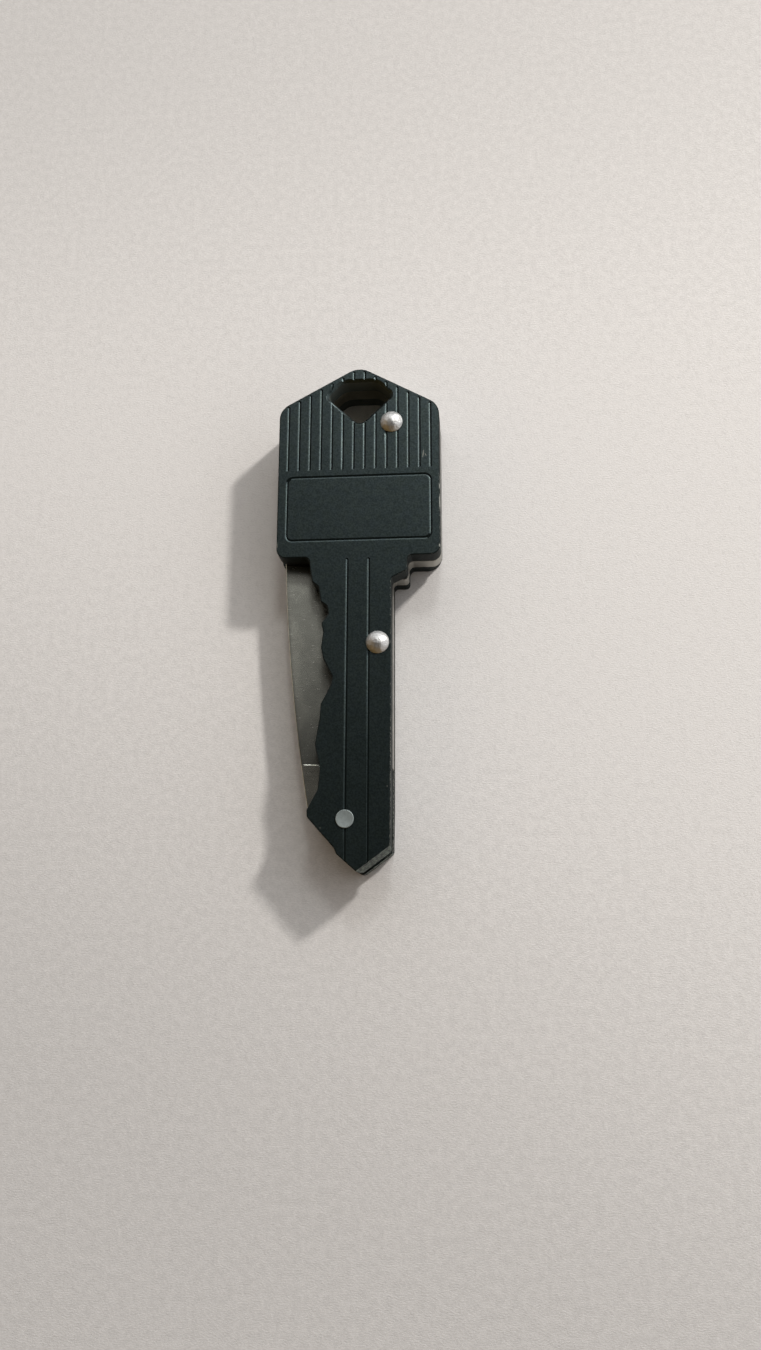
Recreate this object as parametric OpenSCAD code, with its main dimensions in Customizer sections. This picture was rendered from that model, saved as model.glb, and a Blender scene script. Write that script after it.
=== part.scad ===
// Folding pocket knife in the shape of a house key, drawn closed and lying on its back plate.
// Millimetres. X runs across the key, Y from the key's tip up to its bow, Z from the back plate
// up to the front plate. The origin is under the middle of the outline, on the resting face.

/* [Handle outline] */
// Width of the bow, the key's head
bow_w = 23.8; // [22:0.2:27]
// Height of the bow from its shoulders to its apex
bow_h = 29.6; // [27:0.2:33]
// Slope of the two roof edges of the bow, in degrees
roof_pitch = 29; // [24:1:32]
// Length of the shank from the bow's shoulders to the key's tip
shank_len = 44.8; // [43:0.2:50]
// Distance from the centre line to the back edge of the shank
back_edge_x = 4.8; // [4.5:0.1:5.4]
// Radius of the roof's corners
roof_r = 2.6; // [1.5:0.1:3.5]
// Radius of the bow's lower corners
shoulder_r = 1.4; // [0.8:0.1:2]

/* [Plates] */
// Thickness of the front plate
front_t = 3.1; // [2.4:0.1:3.6]
// Thickness of the back plate
back_t = 2.1; // [1.6:0.1:2.6]

/* [Keyring hole] */
// Width of the keyring hole between its side corners
hole_w = 9.4; // [8:0.1:10]
// Height of the keyring hole, from its low corner to its arched top
hole_h = 6.6; // [5.6:0.1:7]
// Metal left above the keyring hole, at the apex of the bow
hole_wall = 2; // [1.6:0.1:2.6]
// Width of the bevel around the keyring hole's front edge
hole_bevel = 0.4; // [0.2:0.1:0.8]
// Distance of the keyring hole's centre to the right of the centre line
hole_x = 0.1; // [-0.5:0.1:0.5]

/* [Blade] */
// Reach of the blade's point from the pivot
blade_reach = 49.5; // [46:0.5:51]
// Thickness of the blade at its spine
blade_t = 2.2; // [1.8:0.05:2.2]
// Width of the blade where its cutting edge starts to curve
blade_w = 8.8; // [7.5:0.1:9]
// Distance from the pivot to the spine at the tang
spine_out = 5.6; // [5.3:0.1:6]
// How far the bow's side covers the spine of the closed blade
spine_cover = 0.7; // [0.6:0.1:1.5]
// Bulge of the spine's curve from a straight line
spine_bulge = 1.1; // [0.5:0.1:1.4]
// Width of the flat left along the spine
spine_flat = 0.45; // [0.3:0.05:0.8]
// Thickness left at the cutting edge
edge_t = 0.2; // [0.1:0.05:0.3]
// Height of the plunge line, where the grind starts, above the pivot
plunge_up = 7.9; // [7:0.1:9]
// Distance of the cutting edge at its heel from the pivot's line
heel_in = 2; // [1.2:0.1:2.2]
// Radius of the tang's round end
tang_r = 3.4; // [3:0.1:3.6]

/* [Back spring] */
// Thickness of the back spring
spring_t = 2.6; // [2.5:0.1:3]
// Width of the spring's arm
arm_w = 2; // [1.6:0.1:2.4]
// How far the end of the arm is set in from the back edge
arm_inset = 0.4; // [0.3:0.1:0.7]

/* [Rivets and pivot] */
// Diameter of the two domed rivets' shanks
rivet_d = 2; // [1.6:0.1:2.4]
// Diameter of the domed heads
dome_d = 3.3; // [3:0.1:3.8]
// Height of the domed heads
dome_h = 1; // [0.7:0.1:1.3]
// Diameter of the pivot pin
pivot_d = 2.2; // [1.8:0.1:2.4]
// Diameter of the pivot pin's flat head
pivot_head_d = 2.5; // [2.4:0.1:3.2]
// Height of the pivot pin's flat head
pivot_head_h = 0.2; // [0.1:0.05:0.4]
// Distance of the pivot from the key's tip
pivot_up = 7.1; // [6.8:0.1:7.5]
// Distance of the pivot to the left of the centre line
pivot_out = 1.5; // [1.1:0.1:1.6]
// Diameter of the two washers on the pivot
washer_d = 5.8; // [5:0.1:6]
// Widening of the rivets' and pin's flush ends in the back plate
flush_flare = 0.4; // [0.2:0.1:0.6]

/* [Surface lines] */
// Number of stripes cut across the top of the bow
stripe_count = 14; // [8:1:14]
// Distance from stripe to stripe
stripe_pitch = 1.62; // [1.3:0.02:1.62]
// Width of every line cut into the front plate
groove_w = 0.44; // [0.3:0.02:0.6]
// Height of the framed panel on the bow
panel_h = 9.8; // [8:0.1:10.5]
// Distance between the two lines along the shank
shank_lines = 3.1; // [2.4:0.1:3.6]

/* [Clearances] */
// Radial clearance of the blade and washers on the pivot pin
pivot_fit = 0.05; // [0.03:0.01:0.08]
// Radial clearance of the rivets and the pin in the handle
rivet_fit = 0.02; // [0.01:0.01:0.04]
// Side clearance between the blade and each washer
side_fit = 0.02; // [0.01:0.01:0.04]
// Clearance between the tang and the spring
tang_gap = 0.08; // [0.05:0.01:0.15]
// Clearance between the blade's point and the spring's bay
point_gap = 0.7; // [0.4:0.1:1]
// Clearance between the cutting edge and the bay's straight wall
edge_gap = 0.7; // [0.5:0.1:0.9]

/* [Hidden] */
$fn = 64;
// A cut runs this far past the face it opens
past = 1;
// Thickness of the slices that a hull joins
slice = 0.01;
// Radius of a corner that stays sharp
sharp_r = 0.01;

// Levels from the resting face up
spring_z = back_t;
front_z = back_t + spring_t;
top_z = front_z + front_t;

// Heights of the outline's landmarks
apex_y = (bow_h + shank_len) / 2;
tip_y = apex_y - bow_h - shank_len;
shoulder_y = apex_y - bow_h;
pivot = [-pivot_out, tip_y + pivot_up];

// The bow: roof corners, sides and lower corners
half_w = bow_w / 2;
apex_r = 3;
// A rounded apex ends below the point where the roof lines would meet
roof_point_y = apex_y + apex_r * (1 / cos(roof_pitch) - 1);
roof_corner_y = roof_point_y - half_w * tan(roof_pitch);
// The neck under the bow, and the step from it in to the back edge of the shank
neck_left_x = -7.05;
neck_step = 2.3;
neck_right_x = back_edge_x + neck_step;
neck_r = 0.8;
neck_len = 2.75;
step_y = shoulder_y - neck_len;
step_r = 0.6;
// The front plate leaves the step as a ramp that starts above it and ends below it
ramp_above = 1.15;
ramp_below = 0.7;
// The back plate's lower right corner is rounder than the others
back_corner_r = 2.2;
// The key's tip: its lowest corner, and the corner where it meets the back edge
tip_x = 0.4;
tip_r = 0.9;
tip_back_in = 0.1;
tip_back_up = 2.9;
tip_back_r = 0.6;
// The back edge bends slightly this far above the tip
bend_up = 9;
bend_r = 20;
// The rounded tip ends this far above the point where its two edges would meet
tip_drop = 0.271;
// The front plate leans back along the tip's lower right edge, in degrees
tip_lean = 9;

// Corners of the key's bitting: x, percentage of the way from the shoulders down to the pivot, radius
bitting = [
    [-6.95, 4, 1.2], [-6.55, 9.8, 0.4], [-5.65, 11.8, 0.4], [-5.4, 15.8, 0.6], [-5.25, 17.8, 0.3],
    [-4.35, 19.6, 0.4], [-4.15, 22.8, 0.3], [-5.15, 26.2, 0.5], [-4.85, 29.7, 0.8], [-5.15, 35.8, 1],
    [-4.8, 40.1, 1], [-3.45, 47.2, 0.6], [-3.7, 50.4, 1], [-5.05, 57.3, 1.2], [-5.2, 62.9, 1],
    [-5.8, 72.5, 1.6], [-5.05, 81.7, 1.5], [-5.3, 89.3, 1.2], [-6.8, 96.6, 0.6], [-6.75, 99.2, 0.8],
    [-3, 110.3, 0.4], [-2.6, 112.6, 0.4]
];
bitting_run = shoulder_y - pivot[1];

tip_corner = [tip_x, tip_y - tip_drop];
back_corner = [back_edge_x - tip_back_in, tip_y + tip_back_up];

// One layer's outline, from the right roof corner round by the left, with what differs between the layers:
// the step's two ends and the radius of the last corner
function outline(step_low, step_high, corner_r) = concat(
    [[half_w, roof_corner_y, roof_r], [0, roof_point_y, apex_r], [-half_w, roof_corner_y, roof_r],
     [-half_w, shoulder_y, shoulder_r], [neck_left_x, shoulder_y, neck_r]],
    [for (p = bitting) [p[0], shoulder_y - bitting_run * p[1] / 100, p[2]]],
    [[tip_corner[0], tip_corner[1], tip_r], [back_corner[0], back_corner[1], tip_back_r],
     [back_edge_x, tip_y + bend_up, bend_r], [back_edge_x, step_low, step_r],
     [neck_right_x, step_high, step_r], [neck_right_x, shoulder_y, neck_r], [half_w, shoulder_y, corner_r]]
);
front_path = outline(step_y - ramp_below, step_y + ramp_above, shoulder_r);
spring_path = outline(step_y, step_y, shoulder_r);
back_path = outline(step_y, step_y, back_corner_r);

// Keyring hole: an arched top between two side corners, and two straight sides down to a low corner
hole_top_y = apex_y - hole_wall;
hole_low_y = hole_top_y - hole_h;
hole_arch = 2.4;
hole_arch_in = 2.3;
hole_arch_r = 2.4;
hole_side_r = 0.7;
hole_low_r = 1.3;
// Its corners before rounding stand outside its width and height
hole_side_x = hole_w / 2 + 0.2;
hole_side_y = hole_top_y - hole_arch;
hole_corner_y = hole_low_y - 0.5;
hole_path = [
    [hole_x - hole_side_x, hole_side_y, hole_side_r],
    [hole_x - hole_side_x + hole_arch_in, hole_top_y, hole_arch_r],
    [hole_x + hole_side_x - hole_arch_in, hole_top_y, hole_arch_r],
    [hole_x + hole_side_x, hole_side_y, hole_side_r],
    [hole_x, hole_corner_y, hole_low_r]
];

// Rivets: one under the keyring hole's side corner, one beside the back edge where the spring is held
bow_rivet_in = -0.05;
bow_rivet_drop = 0.2;
bow_rivet_at = [hole_x + hole_w / 2 - bow_rivet_in, hole_low_y - bow_rivet_drop];
shank_rivet_in = 1.9;
shank_rivet_drop = 12.9;
shank_rivet_at = [back_edge_x - shank_rivet_in, shoulder_y - shank_rivet_drop];

// Blade: its point, and where its curves start below the point
point_out = 6;
point_x = pivot[0] - point_out;
point_y = pivot[1] + sqrt(blade_reach * blade_reach - point_out * point_out);
belly_down = 17.1;
belly_y = point_y - belly_down;
drop_down = 8.6;
drop_y = point_y - drop_down;
// Distances below the point of the cross sections between the plunge line and the blunted point
section_downs = [34, 28, 22, 17, 13, 10, 7.5, 5, 3, 1.5, 0.3];
// The grind starts this far inside the tang
section_inset = 0.1;
// The tang: its end above the pivot, its bend under the spine, and its straight side
plunge_y = pivot[1] + plunge_up;
step_up = 1.55;
kick_r = 0.5;
kick_bend_up = 5;
kick_bend_r = 8;
ricasso_in = 2.8;

// Front plate lines
panel_w = (stripe_count - 1) * stripe_pitch;
panel_up = 2.55;
panel_low_y = shoulder_y + panel_up;
panel_top_y = panel_low_y + panel_h;
panel_corner_r = 0.9;
stripe_gap = 1.2;
stripe_low_y = panel_top_y + stripe_gap;
stripe_margin = 0.7;
shank_lines_drop = 0.4;
shank_lines_y = shoulder_y - shank_lines_drop;

washer_t = (spring_t - blade_t) / 2 - side_fit;
blade_z = spring_z + (spring_t - blade_t) / 2;

// Points of a closed path whose corners [x, y, radius] are rounded off
function rounded(path) = [
    for (i = [0 : len(path) - 1])
        each corner(path[(i + len(path) - 1) % len(path)], path[i], path[(i + 1) % len(path)])
];

function unit(v) = v / norm(v);

function corner(before, at, after) =
    let (p = [at[0], at[1]],
         u = unit([before[0], before[1]] - p),
         v = unit([after[0], after[1]] - p),
         half = acos(u * v) / 2,
         centre = p + unit(u + v) * at[2] / sin(half),
         start = p + u * at[2] / tan(half) - centre,
         turn = 180 - 2 * half,
         side = u[0] * v[1] - u[1] * v[0] > 0 ? -1 : 1,
         steps = max(1, ceil(turn / 12)))
    [for (k = [0 : steps]) centre + turned(start, side * turn * k / steps)];

function turned(v, a) = [v[0] * cos(a) - v[1] * sin(a), v[0] * sin(a) + v[1] * cos(a)];

// The spine runs from the tang to beside the bow's wall in a shallow curve, then drops to the point
spine_low = [pivot[0] - spine_out, pivot[1] + step_up];
spine_high = [-half_w + spine_cover, point_y];
function spine_run(y) =
    let (s = (y - spine_low[1]) / (spine_high[1] - spine_low[1]))
    spine_low[0] + (spine_high[0] - spine_low[0]) * s - 4 * spine_bulge * s * (1 - s);
function ease(y, from_y) = pow(max(0, y - from_y) / (point_y - from_y), 2);
function spine_x(y) = spine_run(y) + (point_x - spine_run(point_y)) * ease(y, drop_y);

// The cutting edge runs straight from the heel, then its belly curves to the point
heel = [pivot[0] + heel_in, plunge_y];
belly = [spine_run(belly_y) + blade_w, belly_y];
function edge_run(y) = heel[0] + (belly[0] - heel[0]) * (y - heel[1]) / (belly[1] - heel[1]);
function edge_x(y) = edge_run(y) + (point_x - edge_run(point_y)) * ease(y, belly_y);

module handle_shape(path) {
    difference() {
        polygon(rounded(path));
        polygon(rounded(hole_path));
    }
}

module bores(fit) {
    for (at = [bow_rivet_at, shank_rivet_at])
        translate(at) circle(d = rivet_d + 2 * fit);
}

// A line cut into the front plate from a to b, with sloping walls
module groove(a, b) {
    side = groove_w / sqrt(2);
    translate([a[0], a[1], top_z])
        rotate(atan2(b[1] - a[1], b[0] - a[0]))
            rotate([45, 0, 0])
                translate([0, -side / 2, -side / 2])
                    cube([norm(b - a), side, side]);
}

// A quarter turn of the same line about a centre
module groove_turn(centre, start) {
    translate([centre[0], centre[1], top_z])
        rotate(start)
            rotate_extrude(angle = 90)
                translate([panel_corner_r, 0])
                    rotate(45)
                        square(groove_w / sqrt(2), center = true);
}

// The bevel around the keyring hole, as deep as it is wide at the top
module hole_rim() {
    hull() {
        translate([0, 0, top_z - hole_bevel])
            linear_extrude(slice)
                polygon(rounded(hole_path));
        translate([0, 0, top_z])
            linear_extrude(slice)
                offset(r = hole_bevel)
                    polygon(rounded(hole_path));
    }
}

module stripes() {
    for (i = [0 : stripe_count - 1]) {
        x = (i - (stripe_count - 1) / 2) * stripe_pitch;
        high_y = roof_point_y - abs(x) * tan(roof_pitch) - stripe_margin;
        groove([x, stripe_low_y], [x, min(high_y, apex_y - stripe_margin / 2)]);
    }
}

module panel() {
    x = panel_w / 2 - panel_corner_r;
    low = panel_low_y + panel_corner_r;
    high = panel_top_y - panel_corner_r;
    r = panel_corner_r;
    groove([-x, high + r], [x, high + r]);
    groove([-x, low - r], [x, low - r]);
    groove([-x - r, low], [-x - r, high]);
    groove([x + r, low], [x + r, high]);
    groove_turn([x, high], 0);
    groove_turn([-x, high], 90);
    groove_turn([-x, low], 180);
    groove_turn([x, low], 270);
}

// What the front plate's lean takes off along the tip's lower right edge
module tip_slope() {
    run = back_corner - tip_corner;
    translate([tip_corner[0], tip_corner[1], front_z])
        rotate([0, 0, atan2(run[1], run[0])])
            rotate([-tip_lean, 0, 0])
                translate([-tip_back_up, -tip_back_up, 0])
                    cube([norm(run) + 2 * tip_back_up, tip_back_up, front_t + 2 * past]);
}

module front_plate() {
    color("darkslategray")
        difference() {
            translate([0, 0, front_z])
                linear_extrude(front_t)
                    difference() {
                        handle_shape(front_path);
                        bores(rivet_fit);
                        translate(pivot) circle(d = pivot_d + 2 * rivet_fit);
                    }
            hole_rim();
            tip_slope();
            stripes();
            panel();
            for (side = [-1, 1])
                groove([side * shank_lines / 2, shank_lines_y], [side * shank_lines / 2, tip_y - past]);
        }
}

// Countersink for the flush end of a pin of diameter d
module flush_sink(at, d, fit) {
    translate([at[0], at[1], -past])
        cylinder(d1 = d + 2 * (flush_flare + fit + past), d2 = d + 2 * fit, h = flush_flare + past);
}

module back_plate() {
    color("darkslategray")
        difference() {
            linear_extrude(back_t)
                difference() {
                    handle_shape(back_path);
                    bores(rivet_fit);
                    translate(pivot) circle(d = pivot_d + 2 * rivet_fit);
                }
            flush_sink(bow_rivet_at, rivet_d, rivet_fit);
            flush_sink(shank_rivet_at, rivet_d, rivet_fit);
            flush_sink(pivot, pivot_d, rivet_fit);
        }
}

// Room that the blade folds into: the sweep of its point, left of a straight wall
bay_x = heel[0] + edge_gap;
module blade_bay() {
    intersection() {
        translate(pivot) circle(r = blade_reach + point_gap, $fn = 128);
        translate([-half_w - past, tip_y - past])
            square([bay_x + half_w + past, bow_h + shank_len]);
    }
}

// The arm narrows below its rivet and ends in a foot beside the tang
arm_root_drop = 1.6;
arm_root_y = shank_rivet_at[1] - rivet_d - arm_root_drop;
arm_root_slope = 0.7;
arm_x = back_edge_x - arm_w;
foot_high_up = 5;
foot_high_y = pivot[1] + foot_high_up;
foot_wide_up = 3;
foot_wide_y = pivot[1] + foot_wide_up;
relief_up = 7.4;
relief_y = pivot[1] + relief_up;
foot_x = pivot[0] + tang_r + tang_gap;
foot_low_y = pivot[1] - step_up + tang_gap;
module beside_arm() {
    polygon([
        [bay_x - past, arm_root_y], [arm_x - arm_root_slope, arm_root_y], [arm_x, arm_root_y - arm_root_slope],
        [arm_x, foot_high_y], [foot_x, foot_wide_y], [foot_x, foot_low_y],
        [back_edge_x + past, foot_low_y], [back_edge_x + past, tip_y - past], [bay_x - past, tip_y - past]
    ]);
}

module arm_relief() {
    translate([back_edge_x - arm_inset, tip_y])
        square([past, relief_y - tip_y]);
}

module back_spring() {
    color("silver")
        translate([0, 0, spring_z])
            linear_extrude(spring_t)
                difference() {
                    handle_shape(spring_path);
                    blade_bay();
                    beside_arm();
                    arm_relief();
                    bores(rivet_fit);
                }
}

// Full-thickness part of the blade, from the tang's round end up to the plunge line
module tang_shape() {
    union() {
        translate(pivot) circle(r = tang_r);
        polygon(rounded([
            [spine_x(pivot[1] + step_up), pivot[1] + step_up, kick_r],
            [pivot[0] + ricasso_in, pivot[1] + step_up, sharp_r],
            [pivot[0] + ricasso_in, plunge_y, sharp_r],
            [spine_x(plunge_y), plunge_y, sharp_r],
            [spine_x(pivot[1] + kick_bend_up), pivot[1] + kick_bend_up, kick_bend_r]
        ]));
    }
}

// One cross section of the ground blade, six points at height y
function blade_section(y, inset = 0) =
    let (x = spine_x(y) + inset,
         flat = min(spine_flat, (edge_x(y) - x) / 2),
         mid = blade_z + blade_t / 2)
    [[x, y, blade_z + inset], [x + flat, y, blade_z + inset], [edge_x(y) - inset, y, mid - edge_t / 2],
     [edge_x(y) - inset, y, mid + edge_t / 2], [x + flat, y, blade_z + blade_t - inset],
     [x, y, blade_z + blade_t - inset]];

// The grind, from inside the tang through the plunge line to the point
module ground_blade() {
    last = len(section_downs);
    sections = concat(
        [blade_section(plunge_y - section_inset, section_inset), blade_section(plunge_y)],
        [for (down = section_downs) blade_section(point_y - down)]
    );
    side_faces = [
        for (i = [0 : last], k = [0 : 5])
            let (a = 6 * i + k, b = 6 * i + (k + 1) % 6)
            each [[a, b, b + 6], [a, b + 6, a + 6]]
    ];
    polyhedron(
        points = [for (section = sections) each section],
        faces = concat([[5, 4, 3, 2, 1, 0]], side_faces, [[for (k = [0 : 5]) 6 * (last + 1) + k]])
    );
}

module blade() {
    color("lightgray")
        difference() {
            union() {
                translate([0, 0, blade_z])
                    linear_extrude(blade_t)
                        tang_shape();
                ground_blade();
            }
            translate([pivot[0], pivot[1], spring_z])
                cylinder(d = pivot_d + 2 * pivot_fit, h = spring_t);
        }
}

// Shank of a rivet or pin that ends flush in the back plate's countersink
module flush_shank(at, d, top) {
    translate([at[0], at[1], 0]) {
        cylinder(d = d, h = top);
        cylinder(d1 = d + 2 * flush_flare, d2 = d, h = flush_flare);
    }
}

module domed_rivet(at) {
    sphere_r = (dome_d * dome_d / 4 + dome_h * dome_h) / (2 * dome_h);
    color("gainsboro") {
        flush_shank(at, rivet_d, top_z);
        translate([at[0], at[1], top_z])
            intersection() {
                translate([0, 0, dome_h - sphere_r]) sphere(r = sphere_r);
                cylinder(d = dome_d + past, h = dome_h + past);
            }
    }
}

module bow_rivet() {
    domed_rivet(bow_rivet_at);
}

module shank_rivet() {
    domed_rivet(shank_rivet_at);
}

module pivot_pin() {
    color("gainsboro") {
        flush_shank(pivot, pivot_d, top_z);
        translate([pivot[0], pivot[1], top_z])
            cylinder(d = pivot_head_d, h = pivot_head_h);
    }
}

module washer(z) {
    color("darkgoldenrod")
        translate([pivot[0], pivot[1], z])
            difference() {
                cylinder(d = washer_d, h = washer_t);
                translate([0, 0, -past]) cylinder(d = pivot_d + 2 * pivot_fit, h = washer_t + 2 * past);
            }
}

module pivot_washer_front() {
    washer(front_z - washer_t);
}

module pivot_washer_back() {
    washer(spring_z);
}

front_plate();
back_plate();
back_spring();
blade();
pivot_pin();
pivot_washer_front();
pivot_washer_back();
bow_rivet();
shank_rivet();
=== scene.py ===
# Key-shaped folding pocket knife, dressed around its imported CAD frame.
import math

import bmesh
import bpy
from mathutils import Matrix, Vector


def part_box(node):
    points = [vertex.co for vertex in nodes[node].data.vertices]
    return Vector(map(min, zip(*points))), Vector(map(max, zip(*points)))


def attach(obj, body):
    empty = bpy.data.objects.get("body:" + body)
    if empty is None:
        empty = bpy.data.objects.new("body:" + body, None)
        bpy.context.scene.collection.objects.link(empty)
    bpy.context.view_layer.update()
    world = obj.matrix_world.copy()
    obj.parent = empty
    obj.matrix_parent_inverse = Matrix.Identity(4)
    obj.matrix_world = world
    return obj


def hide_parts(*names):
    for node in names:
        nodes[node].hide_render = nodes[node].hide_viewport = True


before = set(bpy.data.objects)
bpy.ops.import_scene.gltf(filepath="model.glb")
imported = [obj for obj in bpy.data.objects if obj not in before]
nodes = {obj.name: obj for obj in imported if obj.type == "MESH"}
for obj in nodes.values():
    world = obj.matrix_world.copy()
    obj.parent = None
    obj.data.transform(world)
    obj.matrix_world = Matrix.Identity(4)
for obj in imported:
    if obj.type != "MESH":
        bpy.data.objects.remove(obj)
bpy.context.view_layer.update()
mm = 0.001  # pieces are modelled in millimetres and brought to metres once, when they are done
print("frame loaded")


# small tools for working in edit mode


def goIdle():
    if bpy.context.mode != "OBJECT":
        bpy.ops.object.mode_set(mode="OBJECT")
    bpy.ops.object.select_all(action="DESELECT")


def pick(piece):
    goIdle()
    piece.select_set(True)
    bpy.context.view_layer.objects.active = piece


def edit(piece, kind="FACE"):
    pick(piece)
    bpy.ops.object.mode_set(mode="EDIT")
    bpy.ops.mesh.select_mode(type=kind)
    bpy.ops.mesh.select_all(action="DESELECT")


def choose(piece, kind, test):  # selects the faces, edges or verts that pass the test
    bpy.ops.mesh.select_mode(type=kind)
    bpy.ops.mesh.select_all(action="DESELECT")
    shape = bmesh.from_edit_mesh(piece.data)
    parts = {"FACE": shape.faces, "EDGE": shape.edges, "VERT": shape.verts}[kind]
    parts.ensure_lookup_table()
    for part in parts:
        if test(part):
            part.select_set(True)
    shape.select_flush_mode()
    bmesh.update_edit_mesh(piece.data)


def pointOutwards(piece):
    edit(piece)
    bpy.ops.mesh.select_all(action="SELECT")
    bpy.ops.mesh.normals_make_consistent(inside=False)
    goIdle()


def applyModifier(piece, kind, **settings):
    pick(piece)
    tool = piece.modifiers.new(kind.lower(), kind)
    for key, value in settings.items():
        setattr(tool, key, value)
    bpy.ops.object.modifier_apply(modifier=tool.name)


def cutWith(piece, cutter, paint=None):  # a paint given here goes on the cut's own walls
    if paint is not None:
        cutter.data.materials.append(paint)
    applyModifier(
        piece, "BOOLEAN", operation="DIFFERENCE", solver="EXACT", object=cutter,
        material_mode="INDEX" if paint is None else "TRANSFER")
    bpy.data.objects.remove(cutter)


def joinAll(pieces, name):
    goIdle()
    for piece in pieces:
        piece.select_set(True)
    bpy.context.view_layer.objects.active = pieces[0]
    bpy.ops.object.join()
    joined = bpy.context.view_layer.objects.active
    joined.name = name
    return joined


def nodeBox(name):
    low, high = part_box(name)
    return low / mm, high / mm


def nodeMiddle(name):
    low, high = nodeBox(name)
    return (low + high) / 2


# copies one edge loop of a CAD node's flat face at a level: the outline, or the hole near a point
def loopOf(nodeName, level, name, near=None):
    piece = bpy.data.objects.new(name, nodes[nodeName].data.copy())
    bpy.context.scene.collection.objects.link(piece)
    piece.data.materials.clear()
    piece.data.transform(Matrix.Scale(1 / mm, 4))
    pick(piece)
    bpy.ops.mesh.customdata_custom_splitnormals_clear()
    edit(piece)
    bpy.ops.mesh.select_all(action="SELECT")
    bpy.ops.mesh.remove_doubles(threshold=0.002)
    choose(piece, "FACE", lambda f: (
        abs(f.normal.z) < 0.99 or abs(f.calc_center_median().z - level) > 0.01))
    bpy.ops.mesh.delete(type="FACE")
    bpy.ops.mesh.select_all(action="SELECT")
    bpy.ops.mesh.region_to_loop()
    bpy.ops.mesh.select_all(action="INVERT")
    bpy.ops.mesh.delete(type="EDGE")
    bpy.ops.mesh.select_all(action="SELECT")
    bpy.ops.mesh.delete(type="ONLY_FACE")
    shape = bmesh.from_edit_mesh(piece.data)
    left, loops = set(shape.verts), []
    while left:
        found, waiting = set(), [left.pop()]
        while waiting:
            vert = waiting.pop()
            found.add(vert)
            waiting += [e.other_vert(vert) for e in vert.link_edges if e.other_vert(vert) in left]
            left -= set(waiting)
        loops.append(found)

    def rank(loop):  # the longest loop comes first, or the nearest
        middle = sum((v.co for v in loop), Vector()) / len(loop)
        if near is None:
            return min(v.co.y for v in loop) - max(v.co.y for v in loop)
        return (middle.xy - Vector(near)).length

    kept = {v.index for v in min(loops, key=rank)}
    choose(piece, "VERT", lambda v: v.index not in kept)
    bpy.ops.mesh.delete(type="VERT")
    goIdle()
    return piece


def slabOf(piece, low, high):  # closes the loop and pulls it up from one level to the other
    edit(piece, "EDGE")
    bpy.ops.mesh.select_all(action="SELECT")
    bpy.ops.mesh.edge_face_add()
    shape = bmesh.from_edit_mesh(piece.data)
    for vert in shape.verts:
        vert.co.z = low
    bmesh.update_edit_mesh(piece.data)
    bpy.ops.mesh.select_mode(type="FACE")
    bpy.ops.mesh.select_all(action="SELECT")
    bpy.ops.mesh.extrude_region_move(TRANSFORM_OT_translate={"value": (0, 0, high - low)})
    pointOutwards(piece)


def roundRim(piece, level, width, steps):
    edit(piece, "EDGE")
    choose(piece, "EDGE", lambda e: all(abs(v.co.z - level) < 0.001 for v in e.verts))
    bpy.ops.mesh.bevel(
        offset=width, segments=steps, profile=0.5, affect="EDGES", clamp_overlap=True)
    goIdle()


coatSlot = {"plain": 0, "wornAndShaded": 1, "litCut": 2, "shadedCut": 3, "rubbed": 4}


def paintRim(piece):  # the flat faces take the plain coat, the walls and rims the worn one, with real chips on its edges and a duller finish that is painted shade darkening the walls
    for paint in (blackCoat, wornAndShadedCoat, grooveLight, grooveShade, rubbedCoat):
        piece.data.materials.append(paint)
    for face in piece.data.polygons:
        face.material_index = coatSlot["plain" if abs(face.normal.z) > 0.999 else "wornAndShaded"]


def paintHole(piece, paint):  # the hole's bevel takes the plain coat
    slots = [slot.material for slot in piece.material_slots]
    for face in piece.data.polygons:
        if slots[face.material_index] == paint and face.normal.z > 0.2:
            face.material_index = coatSlot["plain"]


def paintSlope(piece):  # the tip's lower right wall is rubbed
    for face in piece.data.polygons:
        if face.center.y < plate["rubbedBelow"] and face.normal.x > 0.3 and face.normal.y < -0.3:
            face.material_index = coatSlot["rubbed"]


def paintCuts(piece):  # the cut lines' walls get painted light: a painted highlight on the walls facing the lamps and painted shade on those facing away; and the tip's rubbed slope
    for face in piece.data.polygons:
        if face.material_index == coatSlot["plain"] and abs(face.normal.z) < 0.99:
            shaded = face.normal.x < -0.2 or face.normal.y < -0.2
            steep = abs(face.normal.z) < 0.3
            kind = "rubbed" if steep else "shadedCut" if shaded else "litCut"
            face.material_index = coatSlot[kind]


# smooth shading, metres, one paint if its faces have none yet, and its place in the frame
def finishPiece(piece, body, slotName, paint, *replaced, smooth=35):
    pick(piece)
    bpy.ops.object.shade_smooth_by_angle(angle=math.radians(smooth))
    applyModifier(piece, "WEIGHTED_NORMAL", keep_sharp=True, weight=100)
    applyModifier(piece, "TRIANGULATE", keep_custom_normals=True)
    piece.data.transform(Matrix.Scale(mm, 4))
    if paint is not None:
        piece.data.materials.clear()
        piece.data.materials.append(paint)
    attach(piece, body)
    if replaced:
        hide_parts(*replaced)
    print("made", piece.name, len(piece.data.polygons), "faces")


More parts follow.
